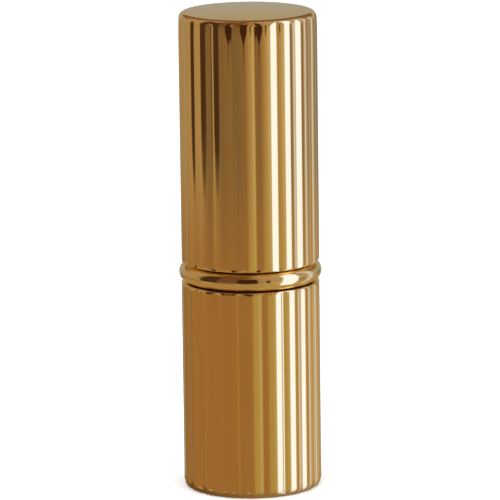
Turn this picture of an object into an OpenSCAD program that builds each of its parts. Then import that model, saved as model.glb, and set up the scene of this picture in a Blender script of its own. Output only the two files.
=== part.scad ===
// Twist-up lipstick case: a reeded cap, a half-round collar ring and a reeded base
// around a slot-and-spiral lifting mechanism. Z is up and the origin is the centre
// of the underside. Turning the base against the collar raises the colour stick.

/* [Case] */
// Diameter over the crests of the reeds
body_d = 20.7; // [20.4:0.1:21.2]
// Height of the base shell
base_h = 31.3; // [31:0.1:31.8]
// Height of the collar ring
collar_h = 2.9; // [2.7:0.1:3.1]
// Height of the cap shell
cap_h = 37.8; // [37.7:0.1:40]
// Diameter over the collar ring
collar_d = 21.3; // [21.1:0.1:21.6]

/* [Reeds] */
// Number of reeds around the case
reed_count = 19; // [18:1:22]
// Radius of one reed's face
reed_r = 3.4; // [3.2:0.1:4]
// Turn of the cap's reeds about the axis, in degrees
cap_turn = 1; // [0:0.5:18]
// Turn of the base's reeds about the axis, in degrees
base_turn = 4.5; // [0:0.5:18]

/* [Shells] */
// Edge radius at the top of the cap
top_fillet = 0.95; // [0.7:0.05:1]
// Edge radius at the bottom of the base
foot_fillet = 0.9; // [0.6:0.05:1]
// Edge radius where cap and base meet the collar ring
seam_fillet = 0.35; // [0.2:0.05:0.4]
// Thickness of the cap's top and the base's floor
end_wall = 0.6; // [0.5:0.1:0.7]
// Radius of the bore inside the cap and base shells
shell_bore_r = 9.5; // [9.45:0.05:9.5]
// Gap between parts that turn or lift off
seam_gap = 0.08; // [0.05:0.01:0.1]

/* [Inner sleeve] */
// Radius of the inner metal sleeve that the cap slides over
sleeve_r = 8.45; // [8.4:0.05:8.45]
// Wall of the inner metal sleeve
sleeve_wall = 0.35; // [0.3:0.05:0.35]
// Height of the inner sleeve's lip above the underside
lip_z = 50; // [49.9:0.1:50.5]

/* [Mechanism] */
// Height that the colour stick rises
travel = 20; // [18:0.5:20]
// Rise of the stick for one full turn
lead = 16; // [14:1:18]
// Outside radius of the carrier cup
cup_r = 6.45; // [6.4:0.05:6.5]
// Height of the carrier cup
cup_h = 9; // [8:0.5:9]
// Height of the carrier cup's underside above the case's underside, stick lowered
cup_z = 20; // [20:0.1:20.2]
// Radius of each lug on the carrier cup
lug_r = 1.0; // [0.9:0.05:1.1]
// Radius of the colour stick
bullet_r = 6.0; // [5.8:0.05:6]
// Length of the colour stick
bullet_h = 27; // [25:0.5:27.2]

/* [Hidden] */
$fn = 96;
eps = 0.01;

body_r = body_d / 2;
reed_pitch = 360 / reed_count;
crest_margin = 0.03;   // rounded ends start this far outside the crests

collar_z = base_h;
cap_z = base_h + collar_h;
total_h = cap_z + cap_h;

// Fits
slide_gap = 0.05;      // between parts that slide or turn on each other
loose_gap = 0.3;       // between parts that never touch
grip_gap = 0.03;       // between the cap's grip ribs and the inner sleeve

// Cap
cap_bore_top = total_h - end_wall;
liner_wall = 0.7;
liner_r = shell_bore_r;
liner_bore_r = liner_r - liner_wall;
liner_lift = 0.6;      // liner's lower edge above the shell's lower edge
cap_weight_h = 1.0;
liner_top_z = cap_bore_top - cap_weight_h;
liner_roof_z = liner_top_z - liner_wall;
rib_count = 8;
rib_w = 0.8;
rib_h = 9;

// Collar
collar_minor_r = collar_h / 2 - seam_gap / 2;
collar_axis_r = collar_d / 2 - collar_minor_r;
bush_r = collar_axis_r - 0.1;
bush_skirt_r = shell_bore_r - slide_gap;
bush_skirt_h = 1.8;

// Lifting mechanism
tube_bore_r = cup_r + slide_gap;
tube_r = tube_bore_r + 0.65;
spiral_bore_r = tube_r + slide_gap;
spiral_r = sleeve_r - sleeve_wall;
cup_floor = 1;
lug_z = cup_z + 2.5;
lug_root_r = bullet_r + 0.1;
lug_tip_r = spiral_bore_r + 0.38;
groove_floor_r = spiral_bore_r + 0.58;
groove_clear = 0.2;
slices_per_turn = 37;
slot_w = 2 * (lug_r + 0.06);
foot_z = 9.5;
foot_h = 7.5;
foot_r = sleeve_r - 0.05;
spiral_z = foot_z + foot_h + seam_gap;
spiral_top_z = lip_z - 1.2;
tube_top_z = lip_z - 0.5;
ring_cord_r = 0.4;
ring_z = spiral_z + 1.4;

// Colour stick
tip_fillet = 2.5;
slant_angle = 40;
slant_drop = 3.4;      // slanted face's height on the axis below the tip

// Base
base_floor_z = end_wall;
insert_web_z = foot_z - 1.2;
insert_wall = shell_bore_r - sleeve_r - 0.1;
insert_top_z = base_h - bush_skirt_h - 0.4;
weight_gap = 0.1;
label_r = 6.5;
label_depth = 0.2;
label_h = 0.12;

// ---- Shared shapes ----

// Quarter-round corner to cut from a profile; it points out along +x and +y.
module corner_cut(r) {
    difference() {
        square(r + 1);
        circle(r = r);
    }
}

// Half profile of a plain bar with rounded lower and upper edges.
module bar_profile(r, h, low_r, high_r) {
    difference() {
        square([r, h]);
        translate([r - low_r, low_r]) mirror([0, 1]) corner_cut(low_r);
        translate([r - high_r, h - high_r]) corner_cut(high_r);
    }
}

// Bar of round-faced reeds side by side around a core, standing on z = 0.
module reeds(h) {
    cylinder(r = body_r - reed_r / 3, h = h);
    for (i = [0 : reed_count - 1])
        rotate(i * reed_pitch) translate([body_r - reed_r, 0]) cylinder(r = reed_r, h = h);
}

// Reeded bar with rounded ends, standing on z = 0.
module reeded_bar(h, low_r, high_r, turn) {
    intersection() {
        rotate(turn) translate([0, 0, -1]) reeds(h + 2);
        rotate_extrude() bar_profile(body_r + crest_margin, h, low_r, high_r);
    }
}

// Plain tube standing on z = 0.
module tube(outer_r, inner_r, h) {
    difference() {
        cylinder(r = outer_r, h = h);
        translate([0, 0, -eps]) cylinder(r = inner_r, h = h + 2 * eps);
    }
}

// ---- Cap ----

// Reeded outer shell, closed at the top.
module cap_shell() {
    color("#c9a052") translate([0, 0, cap_z + seam_gap]) {
        difference() {
            reeded_bar(cap_h - seam_gap, seam_fillet, top_fillet, cap_turn);
            translate([0, 0, -1]) cylinder(r = shell_bore_r, h = cap_h - seam_gap - end_wall + 1);
        }
    }
}

// Inner cup with upright ribs that grip the inner sleeve.
module cap_liner() {
    bottom_z = cap_z + liner_lift;
    color("#e8e0c8") {
        difference() {
            translate([0, 0, bottom_z]) cylinder(r = liner_r, h = liner_top_z - bottom_z);
            translate([0, 0, bottom_z - 1])
                cylinder(r = liner_bore_r, h = liner_roof_z - bottom_z + 1);
        }
        for (i = [0 : rib_count - 1]) rotate(i * 360 / rib_count) liner_rib(bottom_z + 1.5);
    }
}

// One grip rib, with its inner face curved to the inner sleeve.
module liner_rib(z) {
    intersection() {
        translate([sleeve_r - 0.2, -rib_w / 2, z])
            cube([liner_bore_r - sleeve_r + 0.4, rib_w, rib_h]);
        translate([0, 0, z]) tube(liner_bore_r + 0.15, sleeve_r + grip_gap, rib_h);
    }
}

// Steel disc between the liner and the top of the shell.
module cap_weight() {
    color("#9a9da0") translate([0, 0, liner_top_z]) cylinder(r = shell_bore_r, h = cap_weight_h);
}

// ---- Collar and inner sleeve ----

// Half-round ring between the cap and the base.
module collar_ring() {
    color("#c9a052") translate([0, 0, collar_z + seam_gap / 2 + collar_minor_r]) {
        rotate_extrude() difference() {
            union() {
                translate([bush_r, -collar_minor_r])
                    square([collar_axis_r - bush_r, 2 * collar_minor_r]);
                translate([collar_axis_r, 0]) circle(r = collar_minor_r);
            }
            translate([0, -collar_minor_r - 1]) square([bush_r, 2 * collar_minor_r + 2]);
        }
    }
}

// Plastic ring that carries the collar ring and turns in the mouth of the base.
module shoulder_bush() {
    skirt_z = base_h - bush_skirt_h;
    color("#3a2a1c") difference() {
        union() {
            translate([0, 0, skirt_z]) cylinder(r = bush_skirt_r, h = bush_skirt_h);
            translate([0, 0, skirt_z]) cylinder(r = bush_r, h = bush_skirt_h + collar_h);
        }
        translate([0, 0, skirt_z - 1]) cylinder(r = sleeve_r, h = bush_skirt_h + collar_h + 2);
    }
}

// Inner metal sleeve with a rolled lip at its mouth.
module a_shell() {
    h = lip_z - spiral_z;
    mouth_r = tube_bore_r + 0.15;
    color("#d9b567") translate([0, 0, spiral_z]) difference() {
        rotate_extrude() bar_profile(sleeve_r, h, 0.1, 0.45);
        translate([0, 0, -1]) cylinder(r = spiral_r, h = h + 1 - 0.4);
        translate([0, 0, h - 1]) cylinder(r = mouth_r, h = 2);
    }
}

// One helical groove: a sector turned steadily as it rises.
module spiral_groove() {
    low_z = lug_z - lug_r - groove_clear;
    h = travel + 2 * (lug_r + groove_clear);
    half_w = (lug_r + groove_clear) * 360 / lead;
    floor_r = groove_floor_r / cos(half_w / 3);
    arc = [for (i = [0 : 3]) let (a = half_w * (2 * i / 3 - 1)) floor_r * [cos(a), sin(a)]];
    neck_r = spiral_bore_r - 0.3;
    neck = [for (s = [1, -1]) neck_r * [cos(half_w * s), sin(half_w * s)]];
    start = -(lug_r + groove_clear) * 360 / lead;
    translate([0, 0, low_z]) rotate(start)
        linear_extrude(height = h, twist = -360 * h / lead,
                       slices = ceil(slices_per_turn * h / lead), $fn = 6)
            polygon(concat(arc, neck));
}

// Plastic tube with two helical grooves in its bore.
module spiral_sleeve() {
    color("#e8e0c8") difference() {
        translate([0, 0, spiral_z]) cylinder(r = spiral_r, h = spiral_top_z - spiral_z);
        translate([0, 0, spiral_z - 1])
            cylinder(r = spiral_bore_r, h = spiral_top_z - spiral_z + 2);
        for (a = [0, 180]) rotate(a) spiral_groove();
    }
}

// ---- Base and fixed mechanism ----

// Tube with two upright slots, on a solid foot.
module slotted_tube() {
    slot_low = lug_z - lug_r - 0.1;
    slot_h = travel + 2 * (lug_r + 0.1);
    plug_top = cup_z - loose_gap;
    color("#f0ead8") difference() {
        union() {
            translate([0, 0, foot_z]) cylinder(r = foot_r, h = foot_h);
            translate([0, 0, foot_z]) cylinder(r = tube_r, h = tube_top_z - foot_z);
        }
        translate([0, 0, plug_top]) cylinder(r = tube_bore_r, h = tube_top_z);
        translate([-tube_r - 1, -slot_w / 2, slot_low]) cube([2 * tube_r + 2, slot_w, slot_h]);
        translate([0, 0, ring_z]) rotate_extrude()
            translate([tube_r - ring_cord_r + 0.02, 0]) circle(r = ring_cord_r);
    }
}

// Rubber ring that smooths the turning of the sleeve on the tube.
module damping_ring() {
    color("#2c2c2e") translate([0, 0, ring_z]) rotate_extrude()
        translate([tube_r - ring_cord_r + 0.02, 0]) circle(r = ring_cord_r);
}

// Reeded outer shell of the base, closed at the bottom.
module base_shell() {
    color("#c9a052") difference() {
        reeded_bar(base_h - seam_gap / 2, foot_fillet, seam_fillet, base_turn);
        translate([0, 0, base_floor_z]) cylinder(r = shell_bore_r, h = base_h);
        translate([0, 0, -1]) cylinder(r = label_r + 0.1, h = 1 + label_depth);
    }
}

// Plastic bush that holds the mechanism in the base shell.
module base_insert() {
    color("#d8d2c0") difference() {
        translate([0, 0, base_floor_z]) cylinder(r = shell_bore_r, h = insert_top_z - base_floor_z);
        translate([0, 0, foot_z]) cylinder(r = foot_r, h = foot_h);
        translate([0, 0, foot_z + foot_h - eps])
            cylinder(r = shell_bore_r - insert_wall, h = insert_top_z);
        translate([0, 0, base_floor_z - 1])
            cylinder(r = shell_bore_r - insert_wall, h = insert_web_z - base_floor_z + 1);
    }
}

// Steel slug that gives the case its weight and keeps it upright.
module base_weight() {
    color("#9a9da0") translate([0, 0, base_floor_z])
        cylinder(r = shell_bore_r - insert_wall - weight_gap, h = insert_web_z - base_floor_z);
}

// Plain label in the recess of the underside.
module base_label() {
    color("#efe9dc") translate([0, 0, label_depth - label_h]) cylinder(r = label_r, h = label_h);
}

// ---- Carrier ----

// Cup that holds the stick, with a lug on each side.
module carrier_cup() {
    color("#f4efe2") {
        difference() {
            translate([0, 0, cup_z]) cylinder(r = cup_r, h = cup_h);
            translate([0, 0, cup_z + cup_floor]) cylinder(r = bullet_r, h = cup_h);
        }
        for (a = [0, 180]) rotate(a) translate([lug_root_r, 0, lug_z])
            rotate([0, 90, 0]) cylinder(r = lug_r, h = lug_tip_r - lug_root_r);
    }
}

// Colour stick with a slanted, rounded tip.
module lipstick_bullet() {
    color("#9e2b33") translate([0, 0, cup_z + cup_floor]) intersection() {
        rotate_extrude() bar_profile(bullet_r, bullet_h, 0.2, tip_fillet);
        translate([0, 0, bullet_h - slant_drop]) rotate([0, -slant_angle, 0])
            translate([0, 0, -2 * bullet_h]) cylinder(r = bullet_h, h = 2 * bullet_h);
    }
}

cap_shell();
cap_liner();
cap_weight();
collar_ring();
shoulder_bush();
a_shell();
spiral_sleeve();
slotted_tube();
damping_ring();
carrier_cup();
lipstick_bullet();
base_shell();
base_insert();
base_weight();
base_label();
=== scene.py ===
import math

import bpy
from mathutils import Matrix, Vector

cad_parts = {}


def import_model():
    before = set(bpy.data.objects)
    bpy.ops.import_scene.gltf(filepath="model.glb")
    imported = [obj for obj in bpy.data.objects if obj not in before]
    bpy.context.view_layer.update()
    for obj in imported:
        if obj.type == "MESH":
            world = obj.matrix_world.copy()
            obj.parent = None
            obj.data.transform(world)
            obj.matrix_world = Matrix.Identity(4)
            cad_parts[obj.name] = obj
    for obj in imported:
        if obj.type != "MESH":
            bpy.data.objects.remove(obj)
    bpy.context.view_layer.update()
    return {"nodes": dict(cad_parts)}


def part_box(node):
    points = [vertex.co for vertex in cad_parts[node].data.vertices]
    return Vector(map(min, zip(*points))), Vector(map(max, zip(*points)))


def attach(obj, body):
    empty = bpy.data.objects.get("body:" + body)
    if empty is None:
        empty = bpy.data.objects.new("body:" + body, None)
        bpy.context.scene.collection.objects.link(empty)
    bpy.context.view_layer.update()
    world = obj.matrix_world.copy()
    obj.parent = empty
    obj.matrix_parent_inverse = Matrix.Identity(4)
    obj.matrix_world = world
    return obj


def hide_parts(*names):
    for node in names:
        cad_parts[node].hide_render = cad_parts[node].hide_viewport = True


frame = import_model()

MM = 0.001

# ---- Sizes that the fine surfaces share with the CAD model, in metres ----
CASE_R = 10.35 * MM         # over the crests of the reeds
REED_R = 3.4 * MM           # radius of one reed's face
REED_COUNT = 19
REED_PITCH = 2 * math.pi / REED_COUNT
GROOVE_SOFT = 0.05 * REED_PITCH     # the grooves are rounded over this angle on each side
CAP_TURN = math.radians(1.0)
BASE_TURN = math.radians(4.5)
TOP_FILLET = 0.95 * MM
TOP_CROWN = 0.2 * MM        # the cap's top is a little domed
SHOULDER_H = 2.6 * MM       # just below the top rounding the cap's wall draws in a little
SHOULDER_DROP = 0.07 * MM
FOOT_FILLET = 0.9 * MM
SEAM_FILLET = 0.35 * MM
EDGE_FADE = 0.8             # share of a seam's or the foot's rounding in which the reeds run out
END_WALL = 0.6 * MM
BORE_R = 9.5 * MM
LABEL_R = 6.6 * MM
LABEL_RECESS = 0.2 * MM
SLEEVE_R = 8.45 * MM
SLEEVE_BORE_R = 8.1 * MM
MOUTH_R = 6.65 * MM
RING_WALL = 0.1 * MM        # the ring's bore lies this far inside the centre of its round
WAX_R = 6.0 * MM
WAX_H = 27 * MM
WAX_FOOT_FILLET = 0.2 * MM
WAX_SIDE_H = 17 * MM        # up to here the stick's side needs no rings for the slanted cut
WAX_TIP_FILLET = 2.5 * MM
SLANT = math.radians(40)
SLANT_SOFT = 0.45 * MM      # how softly the slanted face meets the side
SLANT_DROP = 3.4 * MM       # slanted face's height on the axis below the tip
GUARD = 0.15 * MM           # an extra ring this far from a rounded edge keeps its face true
SHARP_ANGLE = math.radians(24)      # edges that turn more than this are shaded sharp

CAP_LOW, CAP_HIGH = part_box("cap_shell")
RING_LOW, RING_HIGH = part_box("collar_ring")
BASE_LOW, BASE_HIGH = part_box("base_shell")
SLEEVE_LOW, SLEEVE_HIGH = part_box("a_shell")
WAX_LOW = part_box("lipstick_bullet")[0]


# ---- Mesh building ----

def reed_angles(turn, steps=20):
    """Angles round the case, closer together beside the grooves than on the crests."""
    found = []
    for reed in range(REED_COUNT):
        centre = turn + reed * REED_PITCH
        for i in range(steps):
            share = math.sin(math.pi * (i / steps - 0.5))
            found.append(centre + share * REED_PITCH / 2)
    return found


def round_angles(count):
    return [2 * math.pi * i / count for i in range(count)]


def groove_depth(angle, turn):
    """How far the reeded surface lies inside the crest circle at this angle."""
    s = abs((angle - turn + REED_PITCH / 2) % REED_PITCH - REED_PITCH / 2)
    axis_r = CASE_R - REED_R
    face = min(s, REED_PITCH / 2 - GROOVE_SOFT)
    across = math.sqrt(REED_R ** 2 - (axis_r * math.sin(face)) ** 2)
    depth = CASE_R - axis_r * math.cos(face) - across
    slope = axis_r * math.sin(face) * (1 + axis_r * math.cos(face) / across)
    past = s - face
    return depth + slope * (past - past ** 2 / (2 * GROOVE_SOFT))


def lathe(name, profile, angles, turn=0.0, closed=False):
    """Surface through rings round the axis, one for each profile point, which is (radius,
    height, share of the groove depth)."""
    verts, faces, rings = [], [], []
    for r, z, grooves in profile:
        if r == 0:
            rings.append([len(verts)])
            verts.append((0, 0, z))
            continue
        rings.append(range(len(verts), len(verts) + len(angles)))
        for a in angles:
            rr = r - (grooves * groove_depth(a, turn) if grooves else 0)
            verts.append((rr * math.cos(a), rr * math.sin(a), z))
    pairs = list(zip(rings, rings[1:]))
    if closed:
        pairs.append((rings[-1], rings[0]))
    n = len(angles)
    for low, high in pairs:
        for i in range(n):
            j = (i + 1) % n
            if len(low) == 1:
                faces.append((low[0], high[j], high[i]))
            elif len(high) == 1:
                faces.append((low[i], low[j], high[0]))
            else:
                faces.append((low[i], low[j], high[j], high[i]))
    mesh = bpy.data.meshes.new(name)
    mesh.from_pydata(verts, [], faces)
    mesh.polygons.foreach_set("use_smooth", [True] * len(mesh.polygons))
    mesh.set_sharp_from_angle(angle=SHARP_ANGLE)
    mesh.update()
    obj = bpy.data.objects.new(name, mesh)
    bpy.context.scene.collection.objects.link(obj)
    return obj


def corner(r, z, radius, start, end, steps, grooves_at=lambda t: 0.0):
    """Profile points round a corner centred at (r, z), from one direction to another in degrees."""
    points = []
    for i in range(steps + 1):
        t = i / steps
        a = math.radians(start + (end - start) * t)
        points.append((r + radius * math.cos(a), z + radius * math.sin(a), grooves_at(t)))
    return points


def fade(t, end=0.6):
    """1 at t = 0 falling smoothly to 0 at t = end."""
    x = min(max(t / end, 0.0), 1.0)
    return 1 - x * x * (3 - 2 * x)


# ---- Pieces ----

def cap_shell():
    low, top = CAP_LOW.z, CAP_HIGH.z
    roof, rim = top - END_WALL, top - TOP_CROWN
    slope = math.atan(2 * SHOULDER_DROP / SHOULDER_H)
    tilt = math.atan(2 * TOP_CROWN / CASE_R)
    turn_r = CASE_R - SHOULDER_DROP - TOP_FILLET * math.cos(slope)
    turn_z = rim - TOP_FILLET * math.cos(tilt)
    shoulder_low = turn_z + TOP_FILLET * math.sin(slope) - SHOULDER_H
    flat_r = turn_r + TOP_FILLET * math.sin(tilt)
    shoulder_shares = (0, 0.2, 0.4, 0.6, 0.8)
    crown_shares = (0.97, 0.85, 0.7, 0.55, 0.4, 0.25, 0.12, 0)
    profile = [(0, roof, 0.0), (BORE_R, roof, 0.0), (BORE_R, low, 0.0)]
    profile += corner(CASE_R - SEAM_FILLET, low + SEAM_FILLET, SEAM_FILLET, -90, 0, 6,
                      lambda t: fade(1 - t, EDGE_FADE))
    profile += [(CASE_R, low + SEAM_FILLET + GUARD, 1.0)]
    profile += [(CASE_R - SHOULDER_DROP * u * u, shoulder_low + SHOULDER_H * u, 1.0)
                for u in shoulder_shares]
    profile += corner(turn_r, turn_z, TOP_FILLET, math.degrees(slope), 90 - math.degrees(tilt),
                      18, fade)
    profile += [(flat_r * u, top - TOP_CROWN * u ** 2, 0.0) for u in crown_shares]
    return lathe("cap_shell_fine", profile, reed_angles(CAP_TURN), CAP_TURN)


def base_shell():
    low, top = BASE_LOW.z, BASE_HIGH.z
    foot_r = CASE_R - FOOT_FILLET
    profile = [(0, low + LABEL_RECESS, 0.0), (LABEL_R, low + LABEL_RECESS, 0.0),
               (LABEL_R, low, 0.0), (foot_r - GUARD, low, 0.0)]
    profile += corner(foot_r, low + FOOT_FILLET, FOOT_FILLET, -90, 0, 16,
                      lambda t: fade(1 - t, EDGE_FADE))
    profile += [(CASE_R, low + FOOT_FILLET + GUARD, 1.0),
                (CASE_R, top - SEAM_FILLET - GUARD, 1.0)]
    profile += corner(CASE_R - SEAM_FILLET, top - SEAM_FILLET, SEAM_FILLET, 0, 90, 6,
                      lambda t: fade(t, EDGE_FADE))
    profile += [(BORE_R, top, 0.0), (BORE_R, low + END_WALL, 0.0), (0, low + END_WALL, 0.0)]
    return lathe("base_shell_fine", profile, reed_angles(BASE_TURN), BASE_TURN)


def collar_ring():
    middle = (RING_LOW.z + RING_HIGH.z) / 2
    minor_r = (RING_HIGH.z - RING_LOW.z) / 2
    axis_r = RING_HIGH.x - minor_r
    inner_r = axis_r - RING_WALL
    profile = [(inner_r, middle - minor_r, 0.0)]
    profile += corner(axis_r, middle, minor_r, -90, 90, 40)
    profile += [(inner_r, middle + minor_r, 0.0)]
    return lathe("collar_ring_fine", profile, round_angles(192), closed=True)


def sleeve():
    low, top = SLEEVE_LOW.z, SLEEVE_HIGH.z
    foot, lip, guard = 0.1 * MM, 0.45 * MM, 0.1 * MM
    roof = 0.4 * MM
    edge = 0.12 * MM
    profile = [(SLEEVE_BORE_R, low, 0.0)]
    profile += corner(SLEEVE_R - foot, low + foot, foot, -90, 0, 4)
    profile += [(SLEEVE_R, low + foot + guard, 0.0), (SLEEVE_R, top - lip - guard, 0.0)]
    profile += corner(SLEEVE_R - lip, top - lip, lip, 0, 90, 12)
    profile += [(SLEEVE_R - lip - guard, top, 0.0), (MOUTH_R + edge + guard, top, 0.0)]
    profile += corner(MOUTH_R + edge, top - edge, edge, 90, 180, 5)
    profile += [(MOUTH_R, top - roof, 0.0), (SLEEVE_BORE_R, top - roof, 0.0)]
    return lathe("inner_sleeve_fine", profile, round_angles(160), closed=True)


def colour_stick():
    """Round stick whose tip is cut at a slant, with soft edges where the cut meets the side."""
    low, top = WAX_LOW.z, WAX_LOW.z + WAX_H
    foot_r = WAX_R - WAX_FOOT_FILLET
    profile = [(0, low, 0.0), (foot_r, low, 0.0)]
    profile += corner(foot_r, low + WAX_FOOT_FILLET, WAX_FOOT_FILLET, -90, 0, 4)[1:]
    side_low, side_high = low + 2 * WAX_FOOT_FILLET, low + WAX_SIDE_H
    profile += [(WAX_R, side_low, 0.0), (WAX_R, side_high, 0.0)]
    side_rings, tip_rings = 14, 8
    rise = top - WAX_TIP_FILLET - side_high
    profile += [(WAX_R, side_high + rise * i / side_rings, 0.0) for i in range(1, side_rings)]
    tip_r = WAX_R - WAX_TIP_FILLET
    profile += corner(tip_r, top - WAX_TIP_FILLET, WAX_TIP_FILLET, 0, 90, 14)
    profile += [(tip_r * (1 - i / tip_rings), top, 0.0) for i in range(1, tip_rings)]
    profile += [(0, top, 0.0)]
    obj = lathe("colour_stick_fine", profile, round_angles(128))
    for v in obj.data.vertices:
        cut = top - SLANT_DROP + v.co.x * math.tan(SLANT)
        over = (v.co.z - cut) / SLANT_SOFT
        if over > -6:           # a point further below the cut stays where it is
            v.co.z = cut - SLANT_SOFT * math.log1p(math.exp(-over)) if over < 30 else cut
    obj.data.update()
    return obj


# ---- Materials ----

GOLD_LIGHT, GOLD_DARK = (0.96, 0.74, 0.33), (0.93, 0.70, 0.30)
LABEL_LINE_R = 5.6 * MM     # printed ring on the label
LABEL_LINE_HALF = 0.10 * MM
LABEL_LINE_EDGE = 0.14 * MM


def new_material(name):
    mat = bpy.data.materials.new(name)
    mat.use_nodes = True
    nodes = mat.node_tree.nodes
    return mat, nodes, mat.node_tree.links, nodes["Principled BSDF"]


def noise(nodes, links, scale, stretch=(1, 1, 1), detail=3.0):
    """Noise over the piece's own place in metres, stretched along an axis by a small number."""
    place = nodes.new("ShaderNodeTexCoord")
    mapping = nodes.new("ShaderNodeMapping")
    mapping.inputs["Scale"].default_value = stretch
    texture = nodes.new("ShaderNodeTexNoise")
    texture.inputs["Scale"].default_value = scale
    texture.inputs["Detail"].default_value = detail
    links.new(place.outputs["Object"], mapping.inputs["Vector"])
    links.new(mapping.outputs["Vector"], texture.inputs["Vector"])
    return texture.outputs["Fac"]


def ramp(nodes, links, value, stops):
    """Colour ramp of (position, colour) stops."""
    node = nodes.new("ShaderNodeValToRGB")
    elements = node.color_ramp.elements
    elements[0].position, elements[0].color = stops[0][0], (*stops[0][1], 1)
    elements[1].position, elements[1].color = stops[-1][0], (*stops[-1][1], 1)
    for position, colour in stops[1:-1]:
        elements.new(position).color = (*colour, 1)
    links.new(value, node.inputs["Fac"])
    return node.outputs["Color"]


def spread(nodes, links, value, low, high, from_low=0.3, from_high=0.7):
    """Value carried from one range to another, held at its ends."""
    node = nodes.new("ShaderNodeMapRange")
    node.inputs["From Min"].default_value = from_low
    node.inputs["From Max"].default_value = from_high
    node.inputs["To Min"].default_value = low
    node.inputs["To Max"].default_value = high
    links.new(value, node.inputs["Value"])
    return node.outputs["Result"]


def math_node(nodes, links, operation, a, b):
    node = nodes.new("ShaderNodeMath")
    node.operation = operation
    for socket, value in zip(node.inputs, (a, b)):
        if isinstance(value, (int, float)):
            socket.default_value = value
        else:
            links.new(value, socket)
    return node.outputs["Value"]


def blended(nodes, links, share, first, second):
    """First colour turning into the second as the share goes from 0 to 1."""
    node = nodes.new("ShaderNodeMix")
    node.data_type = "RGBA"
    links.new(share, node.inputs["Factor"])
    for socket, value in zip((node.inputs[6], node.inputs[7]), (first, second)):
        if isinstance(value, tuple):
            socket.default_value = (*value, 1)
        else:
            links.new(value, socket)
    return node.outputs[2]


def bump(nodes, links, shader, layers):
    """Bump from (height, distance in metres) layers, one on top of the other."""
    last = None
    for height, distance in layers:
        node = nodes.new("ShaderNodeBump")
        node.inputs["Strength"].default_value = 1.0
        node.inputs["Distance"].default_value = distance
        links.new(height, node.inputs["Height"])
        if last:
            links.new(last, node.inputs["Normal"])
        last = node.outputs["Normal"]
    links.new(last, shader.inputs["Normal"])


def polished_gold(name, seed):
    """Bright gold plate: nearly a mirror, with faint drawing lines, haze and hairlines."""
    mat, nodes, links, shader = new_material(name)
    shader.inputs["Metallic"].default_value = 1.0
    plate = noise(nodes, links, 140 + seed, (1, 1, 0.25), 4.0)
    links.new(ramp(nodes, links, plate, [(0.3, GOLD_DARK), (0.7, GOLD_LIGHT)]),
              shader.inputs["Base Color"])
    haze = spread(nodes, links, noise(nodes, links, 260 + seed, (1, 1, 0.4), 5.0), 0.02, 0.07)
    hairs = noise(nodes, links, 5200 + seed, (1, 1, 0.012), 2.0)
    hair_haze = spread(nodes, links, hairs, 0.0, 0.05, 0.58, 0.75)
    links.new(math_node(nodes, links, "ADD", haze, hair_haze), shader.inputs["Roughness"])
    waves = noise(nodes, links, 190 + seed, (1, 1, 0.12), 1.0)
    bump(nodes, links, shader, [(waves, 0.0012 * MM), (hairs, 0.00004 * MM)])
    return mat


def moulded_plastic(name, light, dark, roughness=0.38):
    mat, nodes, links, shader = new_material(name)
    cloud = noise(nodes, links, 220, detail=4.0)
    links.new(ramp(nodes, links, cloud, [(0.3, dark), (0.7, light)]), shader.inputs["Base Color"])
    grain = noise(nodes, links, 5200, detail=2.0)
    links.new(spread(nodes, links, grain, roughness - 0.06, roughness + 0.08),
              shader.inputs["Roughness"])
    bump(nodes, links, shader, [(grain, 0.004 * MM)])
    return mat


def brushed_steel(name):
    mat, nodes, links, shader = new_material(name)
    shader.inputs["Metallic"].default_value = 1.0
    cloud = noise(nodes, links, 180, detail=4.0)
    links.new(ramp(nodes, links, cloud, [(0.3, (0.40, 0.41, 0.42)), (0.7, (0.56, 0.57, 0.58))]),
              shader.inputs["Base Color"])
    lines = noise(nodes, links, 2600, (1, 0.02, 1), 3.0)
    links.new(spread(nodes, links, lines, 0.28, 0.46), shader.inputs["Roughness"])
    bump(nodes, links, shader, [(lines, 0.003 * MM)])
    return mat


def dark_rubber(name):
    mat, nodes, links, shader = new_material(name)
    cloud = noise(nodes, links, 900, detail=4.0)
    tones = [(0.3, (0.018, 0.018, 0.019)), (0.7, (0.035, 0.034, 0.034))]
    links.new(ramp(nodes, links, cloud, tones), shader.inputs["Base Color"])
    links.new(spread(nodes, links, cloud, 0.55, 0.75), shader.inputs["Roughness"])
    bump(nodes, links, shader, [(cloud, 0.01 * MM)])
    return mat


def lipstick_wax(name):
    mat, nodes, links, shader = new_material(name)
    cloud = noise(nodes, links, 160, detail=4.0)
    links.new(ramp(nodes, links, cloud, [(0.3, (0.30, 0.018, 0.030)), (0.7, (0.40, 0.030, 0.042))]),
              shader.inputs["Base Color"])
    shader.inputs["Subsurface Weight"].default_value = 0.12
    shader.inputs["Subsurface Radius"].default_value = (0.004, 0.0012, 0.0010)
    shader.inputs["Subsurface Scale"].default_value = 0.3
    shader.inputs["Coat Weight"].default_value = 0.25
    shader.inputs["Coat Roughness"].default_value = 0.22
    skin = noise(nodes, links, 1400, (1, 1, 0.35), 4.0)
    links.new(spread(nodes, links, skin, 0.30, 0.42), shader.inputs["Roughness"])
    bump(nodes, links, shader, [(skin, 0.012 * MM)])
    return mat


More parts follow.
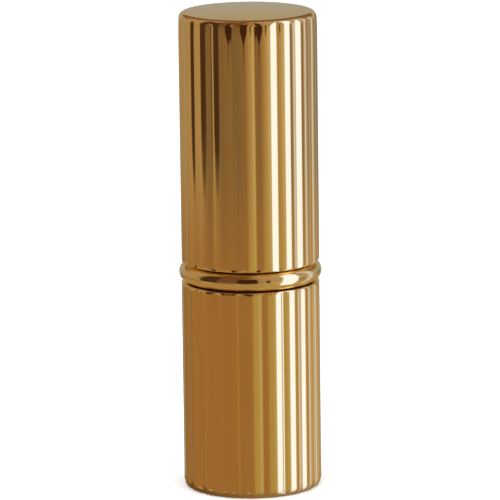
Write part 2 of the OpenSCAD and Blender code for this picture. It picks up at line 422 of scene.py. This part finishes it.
def paper_label(name):
    """Plain paper disc with one printed ring near its edge."""
    mat, nodes, links, shader = new_material(name)
    place = nodes.new("ShaderNodeTexCoord")
    flat = nodes.new("ShaderNodeVectorMath")
    flat.operation = "MULTIPLY"
    flat.inputs[1].default_value = (1, 1, 0)
    length = nodes.new("ShaderNodeVectorMath")
    length.operation = "LENGTH"
    links.new(place.outputs["Object"], flat.inputs[0])
    links.new(flat.outputs["Vector"], length.inputs[0])
    off = math_node(nodes, links, "SUBTRACT", length.outputs["Value"], LABEL_LINE_R)
    band = math_node(nodes, links, "ABSOLUTE", off, 0.0)
    ink = spread(nodes, links, band, 1.0, 0.0, LABEL_LINE_HALF, LABEL_LINE_EDGE)
    fibre = noise(nodes, links, 2400, detail=5.0)
    paper = ramp(nodes, links, fibre, [(0.3, (0.74, 0.70, 0.61)), (0.7, (0.84, 0.81, 0.73))])
    links.new(blended(nodes, links, ink, paper, (0.30, 0.22, 0.10)), shader.inputs["Base Color"])
    links.new(spread(nodes, links, fibre, 0.55, 0.7), shader.inputs["Roughness"])
    bump(nodes, links, shader, [(fibre, 0.006 * MM)])
    return mat


# ---- Surroundings: soft panels that the metal reflects, the floor and the lamps ----

def glow_material(name, colour, strength):
    """Light that fades to the panel's edges by the mesh's own 'glow' values."""
    mat = bpy.data.materials.new(name)
    mat.use_nodes = True
    nodes, links = mat.node_tree.nodes, mat.node_tree.links
    nodes.clear()
    out = nodes.new("ShaderNodeOutputMaterial")
    light = nodes.new("ShaderNodeEmission")
    clear = nodes.new("ShaderNodeBsdfTransparent")
    mix = nodes.new("ShaderNodeMixShader")
    glow = nodes.new("ShaderNodeAttribute")
    glow.attribute_name = "glow"
    light.inputs["Color"].default_value = (*colour, 1)
    light.inputs["Strength"].default_value = strength
    links.new(glow.outputs["Fac"], mix.inputs["Fac"])
    links.new(clear.outputs["BSDF"], mix.inputs[1])
    links.new(light.outputs["Emission"], mix.inputs[2])
    links.new(mix.outputs["Shader"], out.inputs["Surface"])
    mat.cycles.emission_sampling = "NONE"
    return mat


def card(name, verts, faces, glows, colour, strength):
    """Lit or dark sheet that only reflections see."""
    mesh = bpy.data.meshes.new(name)
    mesh.from_pydata(verts, [], faces)
    mesh.attributes.new("glow", "FLOAT", "POINT").data.foreach_set("value", glows)
    mesh.materials.append(glow_material(name + "_light", colour, strength))
    obj = bpy.data.objects.new(name, mesh)
    bpy.context.scene.collection.objects.link(obj)
    obj.visible_camera = False
    obj.visible_diffuse = False
    obj.visible_shadow = False
    obj.visible_transmission = False


PANEL_CENTRE = Vector((0, 0, 36 * MM))
PANEL_DISTANCE = 4.0
LAMP_ELEVATION = 60
LAMP_DISTANCE, LAMP_SIZE = 1.3, 1.8
BOW_MIDDLE = -12            # elevation that the walls reflect at the middle of the case


def direction(azimuth, elevation):
    """Unit vector from azimuth, counted from the front towards +X, and elevation in degrees."""
    a, e = math.radians(azimuth), math.radians(elevation)
    return Vector((math.sin(a) * math.cos(e), -math.cos(a) * math.cos(e), math.sin(e)))


def panel(name, sides, heights, colour, strength, soft, soft_end, bow, point):
    """Patch of a sphere round the case. Sides are azimuths and heights are elevations, in
    degrees. Bow carries its ends sideways, more the further they are from BOW_MIDDLE, and a
    panel with a point narrows to nothing over that many degrees at its lower end."""
    columns, rows = 40, 80
    centre = (sides[0] + sides[1]) / 2
    verts, glows, faces = [], [], []
    for j in range(rows + 1):
        up = heights[0] + (heights[1] - heights[0]) * (j / rows) ** 1.5
        width = min(1.0, (up - heights[0]) / point + 0.02) if point else 1.0
        for i in range(columns + 1):
            side = sides[0] + (sides[1] - sides[0]) * i / columns
            placed = centre + (side - centre) * width + bow * (up - BOW_MIDDLE) ** 2
            verts.append(PANEL_CENTRE + direction(placed, up) * PANEL_DISTANCE)
            across = min(side - sides[0], sides[1] - side) / soft
            along = min(up - heights[0], heights[1] - up) / soft_end
            glows.append((1 - fade(across, 1.0)) * (1 - fade(along, 1.0)))
    for j in range(rows):
        for i in range(columns):
            k = j * (columns + 1) + i
            faces.append((k, k + 1, k + columns + 2, k + columns + 1))
    card(name, verts, faces, glows, colour, strength)


def surroundings():
    daylight, soft_daylight = (0.45, 0.54, 1.0), (0.60, 0.66, 1.0)
    lamplight = (0.74, 0.62, 0.44)
    dark, brown = (0.05, 0.018, 0.008), (0.066, 0.034, 0.021)
    # name, sides, heights, colour, strength, soft sides, soft ends, bow, point
    rows = [
        ("window_near", (49, 86), (-45, 58), daylight, 2.4, 6, 4, 0.004, 0),
        ("window_far", (103, 124), (-45, 52), soft_daylight, 1.1, 8, 6, 0.002, 0),
        ("window_back", (-92, -60), (-19.5, -15.4), lamplight, 1.0, 6, 1.2, 0, 0),
        ("window_side", (-30, -12), (-19.5, -15.6), lamplight, 1.0, 6, 1.2, 0, 0),
        ("flag_back", (-172, -150), (-19.5, -15.4), brown, 1.0, 6, 1.0, 0, 1.5),
        ("flag_left", (-91, -52), (-11.0, 50), brown, 1.0, 6, 0.8, 0, 1.1),
        ("flag_middle", (-24, 14), (-8.8, 42), dark, 1.0, 4, 0.4, 0, 5.0),
        ("flag_right", (24, 34), (-6.5, 24), dark, 1.0, 4, 1.5, 0, 3.0),
    ]
    for row in rows:
        panel(*row)
    painted_contact_shade_card()


def painted_contact_shade_card():
    """Dim ring on the floor round the foot, darkest on the left, that the foot's edge reflects:
    painted shade that stands in for the floor's shadow round the foot.
    """
    radii, count = (9.4 * MM, 10.4 * MM, 11.2 * MM, 12.4 * MM, 13.8 * MM), 72
    height = -0.01 * MM
    full_r, end_r = radii[1], radii[-1]
    palest, middle, swing = math.radians(-25), 0.66, 0.34
    verts, glows, faces = [], [], []
    for r in radii:
        for a in round_angles(count):
            verts.append((r * math.cos(a), r * math.sin(a), height))
            side = middle - swing * math.cos(a - palest)
            glows.append(side * fade((r - full_r) / (end_r - full_r), 1.0))
    for j in range(len(radii) - 1):
        for i in range(count):
            k, n = j * count + i, j * count + (i + 1) % count
            faces.append((k, n, n + count, k + count))
    # dark brown painted shade, which only reflections in the foot's edge show
    card("painted_contact_shade", verts, faces, glows, (0.10, 0.04, 0.012), 1.0)


def above(back):
    """Tones of the room above the horizon, with this tone behind the case."""
    return [(-180, back), (-150, back), (-125, (0.44, 0.32, 0.22)), (-98, (0.43, 0.30, 0.19)),
            (-82, (0.16, 0.075, 0.045)), (-14, (0.16, 0.08, 0.045)), (2, (0.27, 0.16, 0.10)),
            (18, (0.40, 0.26, 0.17)), (42, (0.44, 0.32, 0.22)), (95, (0.46, 0.40, 0.36)),
            (150, back), (180, back)]


# The room that the metal reflects: rows of (azimuth from the front towards +X, tone), each with
# the two elevations between which it takes over from the row before it, in degrees.
ROOM = [
    (-90, -90, [(-180, (0.40, 0.28, 0.15)), (0, (0.41, 0.285, 0.15)), (50, (0.47, 0.36, 0.20)),
                (120, (0.46, 0.34, 0.19)), (180, (0.40, 0.28, 0.15))]),
    (-22, -15, [(-180, (0.42, 0.39, 0.36)), (-165, (0.38, 0.34, 0.30)), (-150, (0.32, 0.24, 0.17)),
                (-130, (0.29, 0.16, 0.072)), (-110, (0.36, 0.20, 0.088)),
                (-60, (0.345, 0.185, 0.08)), (2, (0.345, 0.19, 0.082)),
                (10, (0.40, 0.25, 0.10)), (17, (0.445, 0.33, 0.135)),
                (34, (0.45, 0.34, 0.15)), (44, (0.50, 0.42, 0.24)), (84, (0.46, 0.35, 0.20)),
                (93, (0.45, 0.29, 0.12)), (102, (0.46, 0.31, 0.14)), (112, (0.55, 0.43, 0.30)),
                (130, (0.54, 0.41, 0.26)), (150, (0.44, 0.31, 0.17)), (165, (0.42, 0.37, 0.32)),
                (180, (0.42, 0.39, 0.36))]),
    (-12.2, -10.3, [(-180, (0.42, 0.39, 0.35)), (-160, (0.42, 0.38, 0.33)),
                    (-148, (0.34, 0.30, 0.27)), (-134, (0.40, 0.29, 0.18)),
                    (-116, (0.42, 0.29, 0.165)), (-90, (0.45, 0.31, 0.19)),
                    (-46, (0.21, 0.14, 0.088)), (-22, (0.245, 0.15, 0.083)),
                    (0, (0.265, 0.16, 0.085)), (5, (0.31, 0.19, 0.095)), (13, (0.37, 0.24, 0.125)),
                    (24, (0.43, 0.30, 0.165)), (34, (0.49, 0.36, 0.21)), (42, (0.58, 0.48, 0.33)),
                    (74, (0.36, 0.27, 0.22)), (84, (0.27, 0.18, 0.14)), (95, (0.25, 0.165, 0.12)),
                    (102, (0.42, 0.34, 0.28)), (117, (0.48, 0.42, 0.38)), (130, (0.40, 0.33, 0.28)),
                    (143, (0.22, 0.14, 0.10)), (155, (0.35, 0.33, 0.33)), (168, (0.44, 0.42, 0.39)),
                    (180, (0.42, 0.39, 0.35))]),
    (-6, 3.5, above((0.395, 0.395, 0.39))),
    (3.5, 14.5, above((0.435, 0.355, 0.235))),
    (14.5, 19, above((0.21, 0.11, 0.06))),
]


def world():
    """White for the eye and for dull surfaces, a warm room where metal reflects it."""
    made = bpy.data.worlds.new("studio")
    bpy.context.scene.world = made
    made.use_nodes = True
    nodes, links = made.node_tree.nodes, made.node_tree.links
    nodes.clear()
    out = nodes.new("ShaderNodeOutputWorld")
    seen = nodes.new("ShaderNodeBackground")
    room = nodes.new("ShaderNodeBackground")
    seen.inputs["Color"].default_value = (1, 1, 1, 1)
    place = nodes.new("ShaderNodeTexCoord")
    split = nodes.new("ShaderNodeSeparateXYZ")
    links.new(place.outputs["Generated"], split.inputs["Vector"])
    forward = math_node(nodes, links, "MULTIPLY", split.outputs["Y"], -1.0)
    azimuth = math_node(nodes, links, "ARCTAN2", split.outputs["X"], forward)
    turn = spread(nodes, links, azimuth, 0.0, 1.0, -math.pi, math.pi)
    colour = None
    for start, full, tones in ROOM:
        row = ramp(nodes, links, turn, [((a + 180) / 360, tone) for a, tone in tones])
        if colour:
            share = spread(nodes, links, split.outputs["Z"], 0.0, 1.0,
                           math.sin(math.radians(start)), math.sin(math.radians(full)))
            row = blended(nodes, links, share, colour, row)
        colour = row
    links.new(colour, room.inputs["Color"])
    path = nodes.new("ShaderNodeLightPath")
    mix = nodes.new("ShaderNodeMixShader")
    links.new(path.outputs["Is Glossy Ray"], mix.inputs["Fac"])
    links.new(seen.outputs["Background"], mix.inputs[1])
    links.new(room.outputs["Background"], mix.inputs[2])
    links.new(mix.outputs["Shader"], out.inputs["Surface"])


def floor():
    """Plain pale ground, just under the case and left out of what the metal reflects."""
    mesh = bpy.data.meshes.new("floor")
    half = 6.0
    drop = 0.02 * MM        # keeps the floor clear of the painted shade ring round the foot and of the foot
    mesh.from_pydata([(-half, -half, 0), (half, -half, 0), (half, half, 0), (-half, half, 0)],
                     [], [(0, 1, 2, 3)])
    obj = bpy.data.objects.new("floor", mesh)
    bpy.context.scene.collection.objects.link(obj)
    mat, nodes, links, shader = new_material("floor_paper")
    tone = noise(nodes, links, 3.0, detail=3.0)
    links.new(ramp(nodes, links, tone, [(0.3, (0.95, 0.95, 0.94)), (0.7, (0.97, 0.97, 0.96))]),
              shader.inputs["Base Color"])
    shader.inputs["Roughness"].default_value = 0.9
    shader.inputs["Specular IOR Level"].default_value = 0.1
    mesh.materials.append(mat)
    obj.location.z = -drop
    obj.visible_glossy = False


def lamp(name, azimuth, power):
    """Large soft lamp, high up at this azimuth, that reflections don't show."""
    data = bpy.data.lights.new(name, "AREA")
    data.shape = "SQUARE"
    data.size = LAMP_SIZE
    data.energy = power
    obj = bpy.data.objects.new(name, data)
    bpy.context.scene.collection.objects.link(obj)
    way = direction(azimuth, LAMP_ELEVATION)
    obj.location = PANEL_CENTRE + way * LAMP_DISTANCE
    obj.rotation_mode = "QUATERNION"
    obj.rotation_quaternion = way.to_track_quat("Z", "Y")
    obj.visible_glossy = False
    obj.visible_camera = False


# ---- Camera ----

def camera():
    """Long lens, looking down a little; the lean tilts the case in the picture."""
    distance, elevation = 683 * MM, math.radians(11.64)
    aim = Vector((-0.02 * MM, 0, 35.72 * MM))
    lean = math.radians(0.72)
    data = bpy.data.cameras.new("camera")
    data.sensor_width = 36.0
    data.lens = 329.3
    data.clip_start, data.clip_end = 0.01, 20
    obj = bpy.data.objects.new("camera", data)
    bpy.context.scene.collection.objects.link(obj)
    back = Vector((0, -math.cos(elevation), math.sin(elevation)))
    facing = back.to_track_quat("Z", "Y").to_matrix() @ Matrix.Rotation(-lean, 3, "Z")
    obj.matrix_world = Matrix.Translation(aim + back * distance) @ facing.to_4x4()
    bpy.context.scene.camera = obj


# ---- Putting it together ----

scene = bpy.context.scene
scene.view_settings.view_transform = "Standard"

camera()
world()
floor()
surroundings()
lamp("key", 60, 9.0)
lamp("fill", -70, 8.0)

gold_cap = polished_gold("gold_cap_plate", 0)
gold_base = polished_gold("gold_base_plate", 11)
gold_collar = polished_gold("gold_collar_plate", 23)
gold_sleeve = polished_gold("gold_sleeve_plate", 37)

for make, body, node, slot, material in (
    (cap_shell, "cap", "cap_shell", "gold_cap", gold_cap),
    (base_shell, "base", "base_shell", "gold_base", gold_base),
    (collar_ring, "collar", "collar_ring", "gold_collar", gold_collar),
    (sleeve, "collar", "a_shell", "gold_sleeve", gold_sleeve),
    (colour_stick, "carrier", "lipstick_bullet", "colour_wax", lipstick_wax("wax")),
):
    piece = make()
    piece.data.materials.append(material)
    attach(piece, body)
    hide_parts(node)

cream_plastic = moulded_plastic("liner_moulding", (0.80, 0.75, 0.62), (0.74, 0.69, 0.56))
white_plastic = moulded_plastic("mechanism_moulding", (0.84, 0.81, 0.73), (0.78, 0.75, 0.67))
cup_plastic = moulded_plastic("cup_moulding", (0.88, 0.85, 0.78), (0.82, 0.79, 0.72), 0.3)
bush_plastic = moulded_plastic("bush_moulding", (0.68, 0.64, 0.54), (0.62, 0.58, 0.49))
# Near-black brown for the shoulder bush, so the gap between the collar ring and the base reads
# dark: painted shade in the gap.
painted_shade_plastic = moulded_plastic("shoulder_painted_shade_moulding", (0.05, 0.033, 0.02), (0.035, 0.023, 0.014))
steel = brushed_steel("weight_metal")
rubber = dark_rubber("damping_compound")
paper = paper_label("label_paper")
for node, material in (
    ("cap_liner", cream_plastic), ("cap_weight", steel), ("shoulder_bush", painted_shade_plastic),
    ("spiral_sleeve", cream_plastic), ("slotted_tube", white_plastic),
    ("damping_ring", rubber), ("carrier_cup", cup_plastic), ("base_insert", bush_plastic),
    ("base_weight", steel), ("base_label", paper),
):
    for material_slot in frame["nodes"][node].material_slots:
        material_slot.material = material
